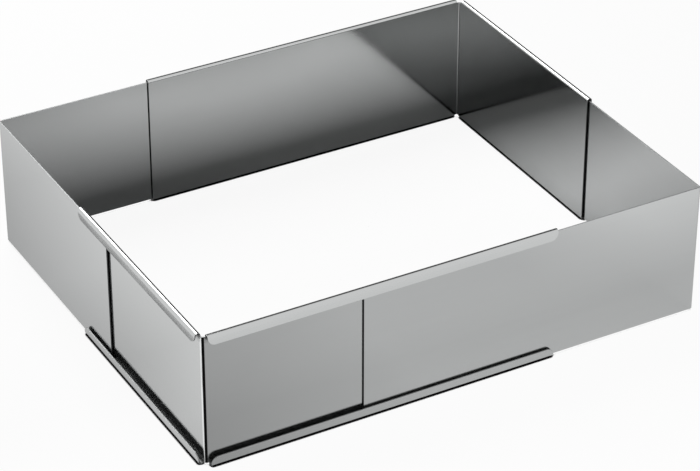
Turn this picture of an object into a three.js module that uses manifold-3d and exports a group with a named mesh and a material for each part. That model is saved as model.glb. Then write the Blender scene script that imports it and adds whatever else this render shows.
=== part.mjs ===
// Adjustable cake frame: four bent sheets of stainless steel that slide in one another.
// Two rail angles have their top and bottom edges rolled outward into channels. Two plain
// slide angles run in those channels, so the frame can be drawn out in length and in width.
// Millimetres, +Z up, +X along the length. The origin is on the tray, under the frame's middle.
import * as THREE from 'three';
import { mergeVertices } from 'three/addons/utils/BufferGeometryUtils.js';
import Module from 'manifold-3d';

// Size of the frame as it is set, over the outer faces of the slide angles
const frameLength = 330;
const frameWidth = 275;

// The sheets
const sheet = 0.8;
const lengthLeg = 228;
const widthLeg = 154;
const slideHeight = 85;
const bendRadius = 0.8;

// The rolled channels. Their lips lean outward, so that a slide wall finds its way in, and each
// curl is a little flattened where the frame stands on it.
const lipLength = 4.8;
const lipLean = THREE.MathUtils.degToRad(5);
const notchPastBend = 0.9;
const standWidth = 0.7;

// Clearances of a slide wall in its channels: to the rail wall, to the lip, to the lower channel
// that it runs on, and to the upper one
const sideGap = 0.5;
const lipGap = 0.8;
const seatGap = 0.45;
const headGap = 0.9;

// Smoothness of arcs: each has twice as many straight steps
const curlSegments = 4;
const bendSegments = 3;

// Sizes that follow from them
const bendOuterRadius = bendRadius + sheet;
const curlRadius = (sideGap + sheet + lipGap) / 2;
const curlOuterRadius = curlRadius + sheet;
const standAngle = Math.asin(standWidth / 2 / curlOuterRadius);
const curlDrop = curlOuterRadius * Math.cos(standAngle);
const lipRise = lipLength * Math.cos(lipLean) - curlRadius * Math.sin(lipLean);
const railWallHeight = slideHeight + seatGap + headGap - 2 * curlRadius;
const railInset = sheet + sideGap;
const railStart = bendOuterRadius + notchPastBend;
const slideBase = curlDrop - curlRadius + seatGap;

const wasm = await Module();
wasm.setup();

// A closed geometry as a solid that can be joined and cut
function solidOf(geometry) {
  const bare = geometry.clone();
  bare.deleteAttribute('normal');
  bare.deleteAttribute('uv');
  const merged = mergeVertices(bare);
  const vertProperties = new Float32Array(merged.attributes.position.array);
  const triVerts = new Uint32Array(merged.index.array);
  return new wasm.Manifold(new wasm.Mesh({ numProp: 3, vertProperties, triVerts }));
}

function geometryOf(solid) {
  const { vertProperties, triVerts } = solid.getMesh();
  const geometry = new THREE.BufferGeometry();
  geometry.setAttribute('position', new THREE.BufferAttribute(vertProperties, 3));
  geometry.setIndex(new THREE.BufferAttribute(triVerts, 1));
  geometry.computeVertexNormals();
  return geometry;
}

function extruded(shape, depth, curveSegments) {
  return new THREE.ExtrudeGeometry(shape, { depth, curveSegments, bevelEnabled: false });
}

// Upright sheet bent once, with the outer faces of its legs on x = 0 and y = 0
function bentWall(xLeg, yLeg, height) {
  const plan = new THREE.Shape();
  const centre = bendOuterRadius;
  plan.moveTo(xLeg, 0);
  plan.lineTo(xLeg, sheet);
  plan.absarc(centre, centre, bendRadius, 1.5 * Math.PI, Math.PI, true);
  plan.lineTo(sheet, yLeg);
  plan.lineTo(0, yLeg);
  plan.absarc(centre, centre, bendOuterRadius, Math.PI, 1.5 * Math.PI, false);
  return extruded(plan, height, bendSegments);
}

// Section of a lower channel: u runs outward from the rail wall's outer face, v up from the
// line where the curl begins. The inner strand reaches up into the wall that it is rolled from.
function channelSection() {
  const lowest = 1.5 * Math.PI;
  const curlEnd = 2 * Math.PI - lipLean;
  const lipEdge = new THREE.Vector2(curlRadius, 0)
    .add(new THREE.Vector2(0, lipLength).rotateAround(new THREE.Vector2(), -lipLean));
  const acrossLip = new THREE.Vector2(Math.cos(curlEnd), Math.sin(curlEnd));
  const section = new THREE.Shape();
  section.moveTo(-sheet, lipRise);
  section.absarc(curlRadius, 0, curlOuterRadius, Math.PI, lowest - standAngle, false);
  section.absarc(curlRadius, 0, curlOuterRadius, lowest + standAngle, curlEnd, false);
  for (const radius of [curlOuterRadius, curlRadius]) {
    const corner = lipEdge.clone().addScaledVector(acrossLip, radius);
    section.lineTo(corner.x, corner.y);
  }
  section.absarc(curlRadius, 0, curlRadius, curlEnd, Math.PI, true);
  section.lineTo(0, lipRise);
  return section;
}

// Waste outside the round corner at a lip's end, in (w, v) with w along the rail
function lipCornerWaste(w, side) {
  const spare = sheet;
  const depth = curlOuterRadius + lipLength * Math.sin(lipLean) + spare;
  const waste = new THREE.Shape();
  const middle = w + side * lipRise;
  waste.moveTo(w - side * spare, 0);
  waste.absarc(middle, 0, lipRise, side > 0 ? Math.PI : 0, Math.PI / 2, side > 0);
  waste.lineTo(middle, lipRise + spare);
  waste.lineTo(w - side * spare, lipRise + spare);
  const cutter = extruded(waste, depth, curlSegments);
  const across = new THREE.Vector3(1, 0, 0);
  const up = new THREE.Vector3(0, 1, 0);
  const along = new THREE.Vector3(0, 0, 1);
  cutter.applyMatrix4(new THREE.Matrix4().makeBasis(along, up, across.negate()));
  cutter.translate(curlRadius + depth, 0, 0);
  return cutter;
}

// One rolled channel of the given length, with both ends of its lip rounded off
function channel(length) {
  return geometryOf(
    solidOf(extruded(channelSection(), length, curlSegments))
      .subtract(solidOf(lipCornerWaste(0, 1)))
      .subtract(solidOf(lipCornerWaste(length, -1))),
  );
}

// A rail angle: the bent wall with a channel rolled along the top and bottom of both legs
function railAngle() {
  const wall = bentWall(lengthLeg, widthLeg, railWallHeight);
  wall.translate(0, 0, curlDrop);
  let solid = solidOf(wall);
  const x = new THREE.Vector3(1, 0, 0);
  const y = new THREE.Vector3(0, 1, 0);
  const z = new THREE.Vector3(0, 0, 1);
  const legs = [
    { along: x, outward: y.clone().negate(), end: lengthLeg },
    { along: y, outward: x.clone().negate(), end: widthLeg },
  ];
  const edges = [
    { inward: z, level: curlDrop },
    { inward: z.clone().negate(), level: curlDrop + railWallHeight },
  ];
  for (const { along, outward, end } of legs) {
    const rail = channel(end - railStart);
    for (const { inward, level } of edges) {
      const run = outward.clone().cross(inward);
      const start = run.dot(along) > 0 ? railStart : end;
      const place = new THREE.Matrix4().makeBasis(outward, inward, run);
      place.setPosition(along.clone().multiplyScalar(start).addScaledVector(z, level));
      solid = solid.add(solidOf(rail.clone().applyMatrix4(place)));
    }
  }
  return geometryOf(solid);
}

// A slide angle: the same bent wall, left plain
function slideAngle() {
  return bentWall(widthLeg, lengthLeg, slideHeight);
}

// Bright rolled stainless steel. The slide angles are a shade lighter than the rail angles.
const railGrey = 0xc4c6c6;
const slideGrey = 0xc6c8c8;

function brightSteel(color) {
  return new THREE.MeshStandardMaterial({ color, roughness: 0.2, metalness: 1, flatShading: true });
}

// One angle stands at each corner of the frame, turned so that its legs lie along the sides
const frame = new THREE.Group();

function addAngle(name, geometry, material, cornerX, cornerY, base, quarterTurns) {
  const angle = new THREE.Mesh(geometry, material);
  angle.name = name;
  angle.position.set(cornerX, cornerY, base);
  angle.rotation.z = quarterTurns * Math.PI / 2;
  frame.add(angle);
}

const halfLength = frameLength / 2;
const halfWidth = frameWidth / 2;
const railX = halfLength - railInset;
const railY = halfWidth - railInset;
addAngle('front_rail_angle', railAngle(), brightSteel(railGrey), -railX, -railY, 0, 0);
addAngle('rear_rail_angle', railAngle(), brightSteel(railGrey), railX, railY, 0, 2);
addAngle('right_slide_angle', slideAngle(), brightSteel(slideGrey), halfLength, -halfWidth, slideBase, 1);
addAngle('left_slide_angle', slideAngle(), brightSteel(slideGrey), -halfLength, halfWidth, slideBase, -1);

export default frame;
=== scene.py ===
import math

import bpy
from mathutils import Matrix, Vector


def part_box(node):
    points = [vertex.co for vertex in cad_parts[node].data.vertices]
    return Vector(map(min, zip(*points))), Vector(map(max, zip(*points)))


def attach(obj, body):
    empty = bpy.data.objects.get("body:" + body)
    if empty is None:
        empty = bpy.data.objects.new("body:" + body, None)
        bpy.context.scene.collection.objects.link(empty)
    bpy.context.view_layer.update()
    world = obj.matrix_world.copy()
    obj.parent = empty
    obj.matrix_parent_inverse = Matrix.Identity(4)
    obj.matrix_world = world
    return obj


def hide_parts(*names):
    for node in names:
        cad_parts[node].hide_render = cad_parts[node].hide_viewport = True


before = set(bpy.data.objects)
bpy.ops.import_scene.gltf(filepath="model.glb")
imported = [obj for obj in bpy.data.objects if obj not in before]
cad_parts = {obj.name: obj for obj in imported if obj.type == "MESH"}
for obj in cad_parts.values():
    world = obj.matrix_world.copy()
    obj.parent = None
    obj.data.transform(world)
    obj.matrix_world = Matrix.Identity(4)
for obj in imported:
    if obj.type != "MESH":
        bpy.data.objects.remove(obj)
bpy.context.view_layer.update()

# Rail angles: two sheets of bright stainless steel, each bent once to stand at a corner of the frame.
# Their top and bottom edges are rolled outward into channels, which are notched away at the bend so
# that the sheet can fold there. The channels' lips lean out a little, and their ends are rounded off.
sheet = 0.0008
bend_radius = 0.0008
curl_radius = 0.00105
lip_length = 0.0048
lip_lean = math.radians(5)
notch_past_bend = 0.0009
seat_gap = 0.00045
deburr = 0.00012

# Taken off the depth of the curls, so that their smooth undersides stay just inside the CAD's box
trim = 0.000005

# Sizes that follow from these and from the frame. Half the bend is measured along the sheet's middle.
bend_outer_radius = bend_radius + sheet
bend_half = (bend_radius + sheet / 2) * math.pi / 4
lip_reach = curl_radius + (curl_radius + sheet) * math.cos(lip_lean) + lip_length * math.sin(lip_lean)
rail_low, rail_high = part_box("front_rail_angle")
slide_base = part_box("right_slide_angle")[0].z
rail_wall_base = slide_base + curl_radius - seat_gap
rail_wall_half = rail_high.z / 2 - rail_wall_base


def wire(tree, socket, value):
    """Sets a socket, or links it where the value is another node's output."""
    if isinstance(value, bpy.types.NodeSocket):
        tree.links.new(value, socket)
    else:
        socket.default_value = value


def calc(tree, operation, *values):
    """One step of arithmetic on numbers and other nodes' outputs."""
    node = tree.nodes.new("ShaderNodeMath")
    node.operation = operation
    for socket, value in zip(node.inputs, values):
        wire(tree, socket, value)
    return node.outputs[0]


def ramp(tree, value, start, end, low, high):
    """Runs from low to high as the value goes from start to end, and stays there beyond."""
    node = tree.nodes.new("ShaderNodeMapRange")
    for socket, setting in zip(node.inputs, (value, start, end, low, high)):
        wire(tree, socket, setting)
    return node.outputs[0]


def bent_sheet_tree():
    """Middle surface of a bent sheet, folded up by formula from a flat grid with one cell per step."""
    tree = bpy.data.node_groups.new("bent_sheet", "GeometryNodeTree")
    measures = ("First Leg", "Second Leg", "Wall Height", "Base Height", "Bend Radius", "Bend Centre",
                "Curl Radius", "Curl Drop", "Lip Length", "Lip Lean", "Notch",
                "Corner X", "Corner Y", "Turn")
    counts = ("Bend Steps", "Leg Steps", "Wall Steps", "Curl Steps", "Lip Steps")
    for name in measures:
        tree.interface.new_socket(name, in_out="INPUT", socket_type="NodeSocketFloat")
    for name in counts:
        tree.interface.new_socket(name, in_out="INPUT", socket_type="NodeSocketInt")
    tree.interface.new_socket("Material", in_out="INPUT", socket_type="NodeSocketMaterial")
    tree.interface.new_socket("Geometry", in_out="OUTPUT", socket_type="NodeSocketGeometry")
    given = tree.nodes.new("NodeGroupInput").outputs

    # The flat grid: columns run along the sheet from the bend, rows up and down from its middle
    half_bend = calc(tree, "MULTIPLY", given["Bend Steps"], 0.5)
    half_wall = calc(tree, "MULTIPLY", given["Wall Steps"], 0.5)
    past_notch = calc(tree, "ADD", half_bend, 1)
    leg_end = calc(tree, "ADD", half_bend, given["Leg Steps"])
    curl_end = calc(tree, "ADD", half_wall, given["Curl Steps"])
    lip_end = calc(tree, "ADD", curl_end, given["Lip Steps"])
    columns = calc(tree, "MULTIPLY", leg_end, 2)
    rows = calc(tree, "MULTIPLY", lip_end, 2)
    grid = tree.nodes.new("GeometryNodeMeshGrid")
    wire(tree, grid.inputs["Size X"], columns)
    wire(tree, grid.inputs["Size Y"], rows)
    wire(tree, grid.inputs["Vertices X"], calc(tree, "ADD", columns, 1))
    wire(tree, grid.inputs["Vertices Y"], calc(tree, "ADD", rows, 1))
    place = tree.nodes.new("ShaderNodeSeparateXYZ")
    wire(tree, place.inputs[0], tree.nodes.new("GeometryNodeInputPosition").outputs[0])
    column, row = place.outputs[0], place.outputs[1]
    from_bend = calc(tree, "ABSOLUTE", column)
    from_middle = calc(tree, "ABSOLUTE", row)
    upper = calc(tree, "SIGN", row)
    on_second = calc(tree, "GREATER_THAN", column, 0)
    on_first = calc(tree, "SUBTRACT", 1, on_second)

    # The rolled edges are left out next to the bend
    notch = tree.nodes.new("GeometryNodeDeleteGeometry")
    notch.domain = "FACE"
    in_notch = calc(tree, "LESS_THAN", from_bend, past_notch)
    rolled = calc(tree, "GREATER_THAN", from_middle, half_wall)
    wire(tree, notch.inputs["Geometry"], grid.outputs["Mesh"])
    wire(tree, notch.inputs["Selection"], calc(tree, "MULTIPLY", in_notch, rolled))

    # Section of the sheet: half the wall, then the curl, then the lip
    half_height = calc(tree, "MULTIPLY", given["Wall Height"], 0.5)
    full_curl = calc(tree, "SUBTRACT", math.pi, given["Lip Lean"])
    wall = ramp(tree, from_middle, 0, half_wall, 0, half_height)
    curl = ramp(tree, from_middle, half_wall, curl_end, 0, full_curl)
    lip_arc = ramp(tree, from_middle, curl_end, lip_end, 0, math.pi / 2)
    lip = calc(tree, "MULTIPLY", given["Lip Length"], calc(tree, "SINE", lip_arc))
    lip_round = calc(tree, "MULTIPLY", given["Lip Length"],
                     calc(tree, "SUBTRACT", 1, calc(tree, "COSINE", lip_arc)))
    curl_out = calc(tree, "MULTIPLY", given["Curl Radius"],
                    calc(tree, "SUBTRACT", 1, calc(tree, "COSINE", curl)))
    outward = calc(tree, "MULTIPLY_ADD", lip, calc(tree, "SINE", given["Lip Lean"]), curl_out)
    curl_rise = calc(tree, "MULTIPLY", given["Curl Drop"], calc(tree, "SINE", curl))
    lip_back = calc(tree, "MULTIPLY", lip, calc(tree, "COSINE", given["Lip Lean"]))
    from_centre = calc(tree, "SUBTRACT", calc(tree, "ADD", wall, curl_rise), lip_back)
    centre = calc(tree, "ADD", given["Base Height"], half_height)
    height = calc(tree, "ADD", centre, calc(tree, "MULTIPLY", upper, from_centre))

    # Plan of the sheet: round the bend, then along the leg to its end
    bend_start = calc(tree, "MULTIPLY", half_bend, -1)
    angle = ramp(tree, column, bend_start, half_bend, 1.5 * math.pi, math.pi)
    leg = calc(tree, "ADD", calc(tree, "MULTIPLY", given["First Leg"], on_first),
               calc(tree, "MULTIPLY", given["Second Leg"], on_second))
    run = calc(tree, "SUBTRACT", leg, given["Notch"])
    run_end = calc(tree, "SUBTRACT", run, lip_round)
    across_notch = ramp(tree, from_bend, half_bend, past_notch, 0, given["Notch"])
    along_run = ramp(tree, from_bend, past_notch, leg_end, lip_round, run_end)
    past_bend = calc(tree, "GREATER_THAN", from_bend, calc(tree, "SUBTRACT", past_notch, 0.5))
    along = calc(tree, "ADD", across_notch, calc(tree, "MULTIPLY", along_run, past_bend))
    radius = calc(tree, "ADD", given["Bend Radius"], outward)
    round_x = calc(tree, "MULTIPLY_ADD", radius, calc(tree, "COSINE", angle), given["Bend Centre"])
    round_y = calc(tree, "MULTIPLY_ADD", radius, calc(tree, "SINE", angle), given["Bend Centre"])
    x = calc(tree, "ADD", round_x, calc(tree, "MULTIPLY", along, on_first))
    y = calc(tree, "ADD", round_y, calc(tree, "MULTIPLY", along, on_second))

    # The flat blank's own coordinates, in metres, carry the rolling grain round the bends
    side = calc(tree, "SUBTRACT", on_second, on_first)
    round_bend = calc(tree, "MULTIPLY", given["Bend Radius"],
                      ramp(tree, from_bend, 0, half_bend, 0, math.pi / 4))
    blank_u = calc(tree, "MULTIPLY", side, calc(tree, "ADD", round_bend, along))
    up_section = calc(tree, "ADD", calc(tree, "MULTIPLY_ADD", given["Curl Radius"], curl, wall), lip)
    blank_v = calc(tree, "MULTIPLY", upper, up_section)
    blank = tree.nodes.new("ShaderNodeCombineXYZ")
    wire(tree, blank.inputs[0], blank_u)
    wire(tree, blank.inputs[1], blank_v)
    flat_map = tree.nodes.new("GeometryNodeStoreNamedAttribute")
    flat_map.data_type = "FLOAT2"
    flat_map.domain = "CORNER"
    wire(tree, flat_map.inputs["Geometry"], notch.outputs["Geometry"])
    wire(tree, flat_map.inputs["Name"], "blank")
    wire(tree, flat_map.inputs["Value"], blank.outputs[0])

    # The blank folded up, and stood at its corner of the frame
    folded = tree.nodes.new("ShaderNodeCombineXYZ")
    for socket, value in zip(folded.inputs, (x, y, height)):
        wire(tree, socket, value)
    fold = tree.nodes.new("GeometryNodeSetPosition")
    wire(tree, fold.inputs["Geometry"], flat_map.outputs["Geometry"])
    wire(tree, fold.inputs["Position"], folded.outputs[0])
    corner = tree.nodes.new("ShaderNodeCombineXYZ")
    wire(tree, corner.inputs[0], given["Corner X"])
    wire(tree, corner.inputs[1], given["Corner Y"])
    turn = tree.nodes.new("ShaderNodeCombineXYZ")
    wire(tree, turn.inputs[2], given["Turn"])
    stand = tree.nodes.new("GeometryNodeTransform")
    wire(tree, stand.inputs["Geometry"], fold.outputs["Geometry"])
    wire(tree, stand.inputs["Translation"], corner.outputs[0])
    wire(tree, stand.inputs["Rotation"], turn.outputs[0])

    realize = tree.nodes.new("GeometryNodeRealizeInstances")
    wire(tree, realize.inputs["Geometry"], stand.outputs["Geometry"])
    finish = tree.nodes.new("GeometryNodeSetMaterial")
    wire(tree, finish.inputs["Geometry"], realize.outputs["Geometry"])
    wire(tree, finish.inputs["Material"], given["Material"])
    wire(tree, tree.nodes.new("NodeGroupOutput").inputs[0], finish.outputs["Geometry"])
    return tree


bent_sheet = bent_sheet_tree()


def plain_mesh(holder, name):
    """The object's evaluated shape as a mesh with no modifiers left on it."""
    bpy.context.view_layer.update()
    graph = bpy.context.evaluated_depsgraph_get()
    mesh = bpy.data.meshes.new_from_object(holder.evaluated_get(graph), depsgraph=graph)
    mesh.name = name
    holder.modifiers.clear()
    return mesh


def make_angle(name, sizes, outer_steel, inner_steel, edge):
    """A bent sheet of real thickness with deburred edges, placed at its corner of the frame."""
    angle = bpy.data.objects.new(name, bpy.data.meshes.new(name + "_blank"))
    bpy.context.scene.collection.objects.link(angle)
    shape = angle.modifiers.new("bent_sheet", "NODES")
    shape.node_group = bent_sheet
    for item in bent_sheet.interface.items_tree:
        if item.in_out == "INPUT":
            shape[item.identifier] = inner_steel if item.name == "Material" else sizes[item.name]
    angle.data = plain_mesh(angle, name + "_sheet")
    angle.data.materials.append(outer_steel)
    angle.data.materials.append(edge)
    thickness = angle.modifiers.new("sheet", "SOLIDIFY")
    thickness.thickness = sheet
    thickness.offset = 0
    thickness.use_even_offset = True
    thickness.use_quality_normals = True
    thickness.material_offset = 1
    thickness.material_offset_rim = 2
    edges = angle.modifiers.new("deburr", "BEVEL")
    edges.width = deburr
    edges.segments = 2
    edges.limit_method = "ANGLE"
    edges.angle_limit = math.radians(50)
    flats = angle.modifiers.new("flats", "WEIGHTED_NORMAL")
    flats.weight = 80
    for polygon in angle.data.polygons:
        polygon.use_smooth = True
    angle.data = plain_mesh(angle, name)
    return angle


def noise(tree, vector, detail, scale=1, stretch=(1, 1, 1)):
    """Smooth noise on a vector that is stretched first."""
    mapping = tree.nodes.new("ShaderNodeMapping")
    wire(tree, mapping.inputs["Vector"], vector)
    wire(tree, mapping.inputs["Scale"], stretch)
    node = tree.nodes.new("ShaderNodeTexNoise")
    wire(tree, node.inputs["Vector"], mapping.outputs[0])
    wire(tree, node.inputs["Scale"], scale)
    wire(tree, node.inputs["Detail"], detail)
    return node.outputs["Fac"]


def mix_colors(tree, factor, first, second):
    """The first colour where the factor is 0, the second where it is 1."""
    node = tree.nodes.new("ShaderNodeMix")
    node.data_type = "RGBA"
    for socket, value in zip((node.inputs[0], node.inputs[6], node.inputs[7]), (factor, first, second)):
        wire(tree, socket, value)
    return node.outputs[2]


rail_color = (0.555, 0.565, 0.564)
# Painted dark reflection along the bend, painted shade inside the channels, and a painted highlight beside
# the bend
painted_dark_steel = (0.012, 0.0122, 0.0122, 1)
painted_highlight_steel = (0.86, 0.87, 0.87, 1)


def bright_steel(name, base_color, painted_parts=None):
    """Rolled face of the sheet, with the fine grain of the rolls. Where painted parts are given, the
    painted dark parts (painted shade and a painted dark reflection) are darker and rougher, and the painted
    highlight is lighter."""
    grains_per_metre = (30, 3000, 1)
    streaks_per_metre = (6, 220, 1)
    clouds_per_metre = 28
    grain_span = (0.25, 0.75)
    streak_span = (0.3, 0.7)
    cloud_span = (0.3, 0.7)
    streak_share = 0.012
    grain_roughness = (0.07, 0.1)
    cloud_roughness = 0.025
    painted_dark_roughness = 0.8
    bump_strength = 0.05
    bump_depth = 0.0001

    material = bpy.data.materials.new(name)
    material.use_nodes = True
    tree = material.node_tree
    shader = tree.nodes["Principled BSDF"]
    shader.inputs["Metallic"].default_value = 1
    blank = tree.nodes.new("ShaderNodeUVMap")
    blank.uv_map = "blank"
    grain = noise(tree, blank.outputs[0], detail=2, stretch=grains_per_metre)
    streak = noise(tree, blank.outputs[0], detail=3, stretch=streaks_per_metre)
    cloud = noise(tree, blank.outputs[0], detail=2, scale=clouds_per_metre)

    painted_dark, painted_highlight = painted_parts(tree, blank.outputs[0]) if painted_parts else (0, 0)
    darker = calc(tree, "MAXIMUM", ramp(tree, streak, *streak_span, 0, streak_share), painted_dark)
    tone = mix_colors(tree, darker, base_color + (1,), painted_dark_steel)
    if painted_parts:
        tone = mix_colors(tree, painted_highlight, tone, painted_highlight_steel)
    wire(tree, shader.inputs["Base Color"], tone)
    rough = calc(tree, "ADD", ramp(tree, grain, *grain_span, *grain_roughness),
                 ramp(tree, cloud, *cloud_span, 0, cloud_roughness))
    wire(tree, shader.inputs["Roughness"], calc(tree, "MULTIPLY_ADD", painted_dark, painted_dark_roughness, rough))
    bump = tree.nodes.new("ShaderNodeBump")
    wire(tree, bump.inputs["Strength"], bump_strength)
    wire(tree, bump.inputs["Distance"], bump_depth)
    wire(tree, bump.inputs["Height"], grain)
    wire(tree, shader.inputs["Normal"], bump.outputs[0])
    return material


def painted_bend_and_channel_light(tree, blank):
    """The outer side of a rail sheet: painted dark along the bend, standing in for a dark reflection, and
    painted shade inside the rolled channels; and a painted highlight in a narrow strip beside the bend."""
    dark_line_middle = -0.35 * bend_half
    dark_line_edge = (0.6 * bend_half, 0.8 * bend_half)
    strip_middle = bend_half
    strip_edge = (0.5 * bend_half, 0.8 * bend_half)
    channel_painted_shade = 0.6

    place = tree.nodes.new("ShaderNodeSeparateXYZ")
    wire(tree, place.inputs[0], blank)
    from_dark_line = calc(tree, "ABSOLUTE", calc(tree, "SUBTRACT", place.outputs[0], dark_line_middle))
    from_strip = calc(tree, "ABSOLUTE", calc(tree, "SUBTRACT", place.outputs[0], strip_middle))
    from_middle = calc(tree, "ABSOLUTE", place.outputs[1])
    bend = ramp(tree, from_dark_line, *dark_line_edge, 1, 0)
    strip = ramp(tree, from_strip, *strip_edge, 1, 0)
    channel = ramp(tree, from_middle, rail_wall_half - lip_length, rail_wall_half + curl_radius,
                   0, channel_painted_shade)
    on_wall = ramp(tree, from_middle, rail_wall_half - sheet, rail_wall_half, 1, 0)
    return calc(tree, "MAXIMUM", bend, channel), calc(tree, "MULTIPLY", strip, on_wall)


def cut_edge_steel():
    """Cut edges of the sheet, torn by the shears. The sheared ends of the walls and curls are dark, partly
    as torn steel and partly as painted shade of the seam gaps and the hollow curl ends; the dressed long
    edges and lips are light."""
    curl_end = rail_wall_half + (curl_radius + sheet / 2) * (math.pi - lip_lean)
    # Dark sheared ends: torn steel with painted shade of the seam gaps and hollow curl ends
    sheared_shade_color = (0.05, 0.051, 0.052, 1)
    dressed_color = (0.32, 0.326, 0.326, 1)
    sheared_shade_share = 0.1
    dressed_share = 0.9
    tear_share = 0.1
    tears_per_metre = 900
    tear_span = (0.2, 0.8)
    tear_roughness = (0.45, 0.6)

    material = bpy.data.materials.new("cut_edge_steel")
    material.use_nodes = True
    tree = material.node_tree
    shader = tree.nodes["Principled BSDF"]
    shader.inputs["Metallic"].default_value = 1
    coordinates = tree.nodes.new("ShaderNodeTexCoord")
    tears = noise(tree, coordinates.outputs["Object"], detail=3, scale=tears_per_metre)
    blank = tree.nodes.new("ShaderNodeUVMap")
    blank.uv_map = "blank"
    place = tree.nodes.new("ShaderNodeSeparateXYZ")
    wire(tree, place.inputs[0], blank.outputs[0])
    from_middle = calc(tree, "ABSOLUTE", place.outputs[1])
    dressed = ramp(tree, from_middle, rail_wall_half - sheet, rail_wall_half - deburr,
                   sheared_shade_share, dressed_share)
    past_wall = ramp(tree, from_middle, rail_wall_half + sheet / 2, rail_wall_half + sheet, 0, 1)
    before_lip = ramp(tree, from_middle, curl_end, curl_end + sheet, 1, 0)
    on_curl = calc(tree, "MULTIPLY", past_wall, before_lip)
    dressed = ramp(tree, on_curl, 0, 1, dressed, sheared_shade_share)
    light = calc(tree, "MULTIPLY_ADD", tears, tear_share, dressed)
    wire(tree, shader.inputs["Base Color"], mix_colors(tree, light, sheared_shade_color, dressed_color))
    wire(tree, shader.inputs["Roughness"], ramp(tree, tears, *tear_span, *tear_roughness))
    return material


edge_steel = cut_edge_steel()
rail_outer_steel = bright_steel("rail_outer_steel", rail_color, painted_bend_and_channel_light)
rail_inner_steel = bright_steel("rail_inner_steel", rail_color)

rail_sizes = {
    "First Leg": rail_high.x - rail_low.x - lip_reach - bend_outer_radius,
    "Second Leg": rail_high.y - rail_low.y - lip_reach - bend_outer_radius,
    "Wall Height": 2 * rail_wall_half,
    "Base Height": rail_wall_base,
    "Bend Radius": bend_radius + sheet / 2,
    "Bend Centre": bend_outer_radius,
    "Curl Radius": curl_radius + sheet / 2,
    "Curl Drop": rail_wall_base - sheet / 2 - trim,
    "Lip Length": lip_length,
    "Lip Lean": lip_lean,
    "Notch": notch_past_bend,
    "Bend Steps": 8,
    "Leg Steps": 12,
    "Wall Steps": 4,
    "Curl Steps": 12,
    "Lip Steps": 7,
}

front_rail_angle = make_angle("front_rail_angle_sheet", rail_sizes | {
    "Corner X": rail_low.x + lip_reach, "Corner Y": rail_low.y + lip_reach, "Turn": 0},
    rail_outer_steel, rail_inner_steel, edge_steel)
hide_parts("front_rail_angle")
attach(front_rail_angle, "front_corner")

rear_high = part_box("rear_rail_angle")[1]
rear_rail_angle = make_angle("rear_rail_angle_sheet", rail_sizes | {
    "Corner X": rear_high.x - lip_reach, "Corner Y": rear_high.y - lip_reach, "Turn": math.pi},
    rail_outer_steel, rail_inner_steel, edge_steel)
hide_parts("rear_rail_angle")
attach(rear_rail_angle, "rear_corner")

# Slide angles: the two other corners, the same sheet bent once and left plain. Their walls run in
# the channels of the rail angles, on the outer side, and are held by nothing else.
slide_color = (0.565, 0.575, 0.575)
slide_steel = bright_steel("slide_steel", slide_color)
slide_low, slide_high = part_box("right_slide_angle")
slide_sizes = rail_sizes | {
    "First Leg": slide_high.y - slide_low.y - bend_outer_radius,
    "Second Leg": slide_high.x - slide_low.x - bend_outer_radius,
    "Wall Height": slide_high.z - slide_low.z,
    "Base Height": slide_low.z,
    "Curl Steps": 0,
    "Lip Steps": 0,
}

right_slide_angle = make_angle("right_slide_angle_sheet", slide_sizes | {
    "Corner X": slide_high.x, "Corner Y": slide_low.y, "Turn": math.pi / 2},
    slide_steel, slide_steel, edge_steel)
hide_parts("right_slide_angle")
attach(right_slide_angle, "right_corner")

left_low, left_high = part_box("left_slide_angle")
left_slide_angle = make_angle("left_slide_angle_sheet", slide_sizes | {
    "Corner X": left_low.x, "Corner Y": left_high.y, "Turn": -math.pi / 2},
    slide_steel, slide_steel, edge_steel)
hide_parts("left_slide_angle")
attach(left_slide_angle, "left_corner")

# Floor: a plain white table. The camera sees it nearly white, with a faint soft shadow and a painted dark
# contact shadow where the steel touches it. The steel mirrors it with painted light: a painted glow in
# front of the frame and to its left, and inside the frame a painted pool of light with painted shade round
# it.
floor_half = 4
white_floor = (0.9, 0.9, 0.9, 1)
# Painted shade that the steel sees inside the frame
shaded_floor = (0.3, 0.3, 0.3, 1)
# Painted contact shadow where the steel touches the table
painted_contact_shadow_floor = (0.02, 0.02, 0.02, 1)
floor_mesh = bpy.data.meshes.new("floor")
floor_mesh.from_pydata([(-floor_half, -floor_half, 0), (floor_half, -floor_half, 0),
                        (floor_half, floor_half, 0), (-floor_half, floor_half, 0)], [], [(0, 1, 2, 3)])
floor = bpy.data.objects.new("floor", floor_mesh)
bpy.context.scene.collection.objects.link(floor)


def front_painted_glow(tree, x, y):
    """Share of painted glow that the steel sees in front of the frame: less near its left corner, more at
    its right end, and full further off."""
    corner_glow = 0.445
    middle_glow = 0.66
    corner_fade = 0.15
    right_glow = 0.3
    right_start = 0.1
    right_end = 0.2
    right_depth = 0.08
    near_edge = slide_low.y - 0.12
    far_edge = slide_low.y - 0.17

    near_glow = ramp(tree, x, left_low.x, left_low.x + corner_fade, corner_glow, middle_glow)
    right_gain = calc(tree, "MULTIPLY", ramp(tree, x, right_start, right_end, 0, right_glow),
                      ramp(tree, y, near_edge, near_edge + right_depth, 1, 0))
    return ramp(tree, y, far_edge, near_edge, 1, calc(tree, "ADD", near_glow, right_gain))


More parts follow.
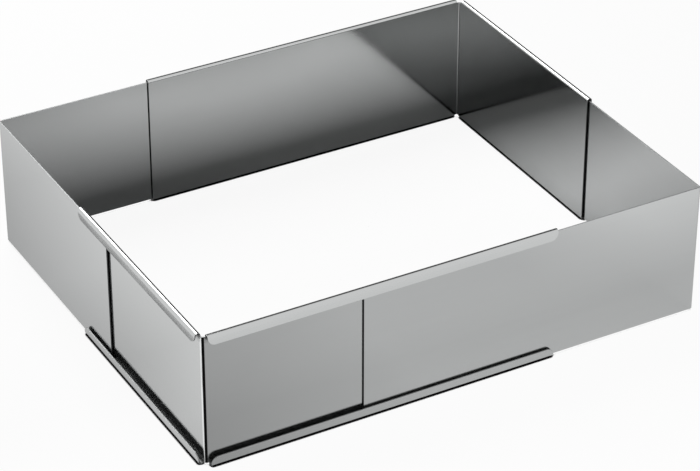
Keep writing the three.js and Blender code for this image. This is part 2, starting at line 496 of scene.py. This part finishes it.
def left_painted_glow(tree, x, y):
    """Brightness of the painted glow that the steel sees left of the frame: outward from the wall it rises,
    dips to a painted dark stripe, and is full further off. It is higher at the front, lower at the rear,
    and nowhere past white."""
    wall_tone = 0.62
    bright_tone = 0.97
    dip_tone = 0.08
    bright_edge = left_low.x - 0.062
    dip_edge = left_low.x - 0.071
    dip_start = left_low.x - 0.0745
    dip_end = left_low.x - 0.077
    full_edge = left_low.x - 0.082
    end_change = 0.12
    front_full = -0.09
    front_end = -0.02
    rear_start = 0.08
    rear_full = 0.2

    front_gain = ramp(tree, y, front_full, front_end, end_change, 0)
    rear_loss = ramp(tree, y, rear_start, rear_full, 0, -end_change)
    tone = ramp(tree, x, bright_edge, left_low.x, bright_tone, wall_tone)
    tone = calc(tree, "ADD", tone, calc(tree, "ADD", front_gain, rear_loss))
    tone = calc(tree, "MINIMUM", tone, 1)
    tone = ramp(tree, x, dip_start, dip_edge, dip_tone, tone)
    return ramp(tree, x, full_edge, dip_end, 1, tone)


def inner_shade(tree, place, x, y, mirrored_times):
    """Painted shade that the steel sees inside the frame: round a painted pool of light, more towards the
    front, and deeper where the floor is mirrored twice."""
    pool_middle = (0.05, -0.06, 0)
    pool_edge = 0.1
    rim_edge = 0.22
    rim_shade = 0.75
    second_shade = 0.6
    front_shade = 0.3
    front_full = -0.035
    front_end = 0.01

    away = tree.nodes.new("ShaderNodeVectorMath")
    away.operation = "DISTANCE"
    wire(tree, away.inputs[0], place)
    wire(tree, away.inputs[1], pool_middle)
    shade = calc(tree, "ADD", ramp(tree, away.outputs["Value"], pool_edge, rim_edge, 0, rim_shade),
                 ramp(tree, mirrored_times, 1, 2, 0, second_shade))
    shade = calc(tree, "ADD", shade, ramp(tree, y, front_full, front_end, front_shade, 0))
    inside = calc(tree, "MULTIPLY", ramp(tree, x, left_low.x - sheet, left_low.x, 0, 1),
                  ramp(tree, y, left_high.y, left_high.y + sheet, 1, 0))
    return calc(tree, "MULTIPLY", shade, inside)


def white_table():
    """The table's top, as the camera sees it and as the steel mirrors it."""
    touch_distance = 0.0025
    touch_span = (0.6, 0.68)
    front_fade = 0.09
    inside_white = 0.92
    front_white = 0.96

    material = bpy.data.materials.new("white_table")
    material.use_nodes = True
    tree = material.node_tree
    tree.nodes.remove(tree.nodes["Principled BSDF"])
    coordinates = tree.nodes.new("ShaderNodeTexCoord").outputs["Object"]
    place = tree.nodes.new("ShaderNodeSeparateXYZ")
    wire(tree, place.inputs[0], coordinates)
    x, y = place.outputs[0], place.outputs[1]
    rays = tree.nodes.new("ShaderNodeLightPath").outputs
    by_steel = calc(tree, "MAXIMUM", rays["Is Glossy Ray"], rays["Is Transmission Ray"])

    # Painted contact shadow: free of the steel, or right under and beside it
    open_air = tree.nodes.new("ShaderNodeAmbientOcclusion")
    open_air.samples = 16
    wire(tree, open_air.inputs["Distance"], touch_distance)
    out_of_contact_shadow = ramp(tree, open_air.outputs["AO"], *touch_span, 0, 1)

    # How much of the top glows: for the camera as a white backdrop, and for the steel as painted light
    in_front = ramp(tree, y, slide_low.y, slide_low.y + front_fade, 1, 0)
    on_left = ramp(tree, x, left_low.x - sheet, left_low.x, 1, 0)
    steel_share = calc(tree, "MAXIMUM", on_left, calc(tree, "MULTIPLY", in_front, front_painted_glow(tree, x, y)))
    camera_share = ramp(tree, in_front, 0, 1, inside_white, front_white)
    share = calc(tree, "MULTIPLY_ADD", rays["Is Camera Ray"], camera_share,
                 calc(tree, "MULTIPLY", by_steel, steel_share))

    shade = calc(tree, "MULTIPLY", by_steel, inner_shade(tree, coordinates, x, y, rays["Glossy Depth"]))
    top = tree.nodes.new("ShaderNodeBsdfDiffuse")
    color = mix_colors(tree, shade, white_floor, shaded_floor)
    wire(tree, top.inputs["Color"], mix_colors(tree, out_of_contact_shadow, painted_contact_shadow_floor, color))
    glow = tree.nodes.new("ShaderNodeEmission")
    painted_glow_by_steel = ramp(tree, on_left, 0, 1, 1, left_painted_glow(tree, x, y))
    wire(tree, glow.inputs["Color"], (1, 1, 1, 1))
    wire(tree, glow.inputs["Strength"], ramp(tree, by_steel, 0, 1, 1, painted_glow_by_steel))
    surface = tree.nodes.new("ShaderNodeMixShader")
    wire(tree, surface.inputs[0], calc(tree, "MULTIPLY", share, out_of_contact_shadow))
    wire(tree, surface.inputs[1], top.outputs[0])
    wire(tree, surface.inputs[2], glow.outputs[0])
    wire(tree, tree.nodes["Material Output"].inputs["Surface"], surface.outputs[0])
    return material


floor.data.materials.append(white_table())

# Light: one soft box above and behind the frame, in a dim room. The steel and the camera see the room as
# pale, apart from a dark side behind the frame to the right.
dim_room = (0.06, 0.06, 0.06, 1)
dark_side = Vector((0.55, 0.75, 0.37))
dark_span = (0.6, 0.8)
dark_level = 0.12


def pale_room():
    """The room round the table: dim as a light, pale to the camera and in the steel."""
    world = bpy.data.worlds.new("room")
    world.use_nodes = True
    tree = world.node_tree
    dim = tree.nodes["Background"]
    wire(tree, dim.inputs["Color"], dim_room)
    pale = tree.nodes.new("ShaderNodeBackground")
    toward_dark = tree.nodes.new("ShaderNodeVectorMath")
    toward_dark.operation = "DOT_PRODUCT"
    wire(tree, toward_dark.inputs[0], tree.nodes.new("ShaderNodeTexCoord").outputs["Generated"])
    wire(tree, toward_dark.inputs[1], dark_side.normalized())
    wire(tree, pale.inputs["Color"], (1, 1, 1, 1))
    wire(tree, pale.inputs["Strength"], ramp(tree, toward_dark.outputs["Value"], *dark_span, 1, dark_level))
    rays = tree.nodes.new("ShaderNodeLightPath").outputs
    seen = calc(tree, "MAXIMUM", rays["Is Camera Ray"],
                calc(tree, "MAXIMUM", rays["Is Glossy Ray"], rays["Is Transmission Ray"]))
    room = tree.nodes.new("ShaderNodeMixShader")
    wire(tree, room.inputs[0], seen)
    wire(tree, room.inputs[1], dim.outputs[0])
    wire(tree, room.inputs[2], pale.outputs[0])
    wire(tree, tree.nodes["World Output"].inputs["Surface"], room.outputs[0])
    return world


bpy.context.scene.world = pale_room()
key_data = bpy.data.lights.new("soft_box", "AREA")
key_data.shape = "RECTANGLE"
key_data.size = 0.8
key_data.size_y = 0.9
key_data.energy = 16.5
key = bpy.data.objects.new("soft_box", key_data)
key.location = (-0.08, 0.8, 1.15)
key.rotation_euler = (-key.location).to_track_quat("-Z", "Y").to_euler()
bpy.context.scene.collection.objects.link(key)

# Camera: at the photograph's viewing angle, from the left of the front corner and well above. The focal
# length is worked out from its value in pixels of the photograph.
focal_pixels = 2887
image_width = 700
camera_data = bpy.data.cameras.new("camera")
camera_data.sensor_width = 36
camera_data.lens = camera_data.sensor_width * focal_pixels / image_width
camera = bpy.data.objects.new("camera", camera_data)
camera.location = (-0.7273, -1.3107, 0.9589)
camera.rotation_euler = (math.radians(58.162), 0, math.radians(-29.183))
bpy.context.scene.collection.objects.link(camera)
bpy.context.scene.camera = camera
bpy.context.scene.view_settings.view_transform = "Standard"
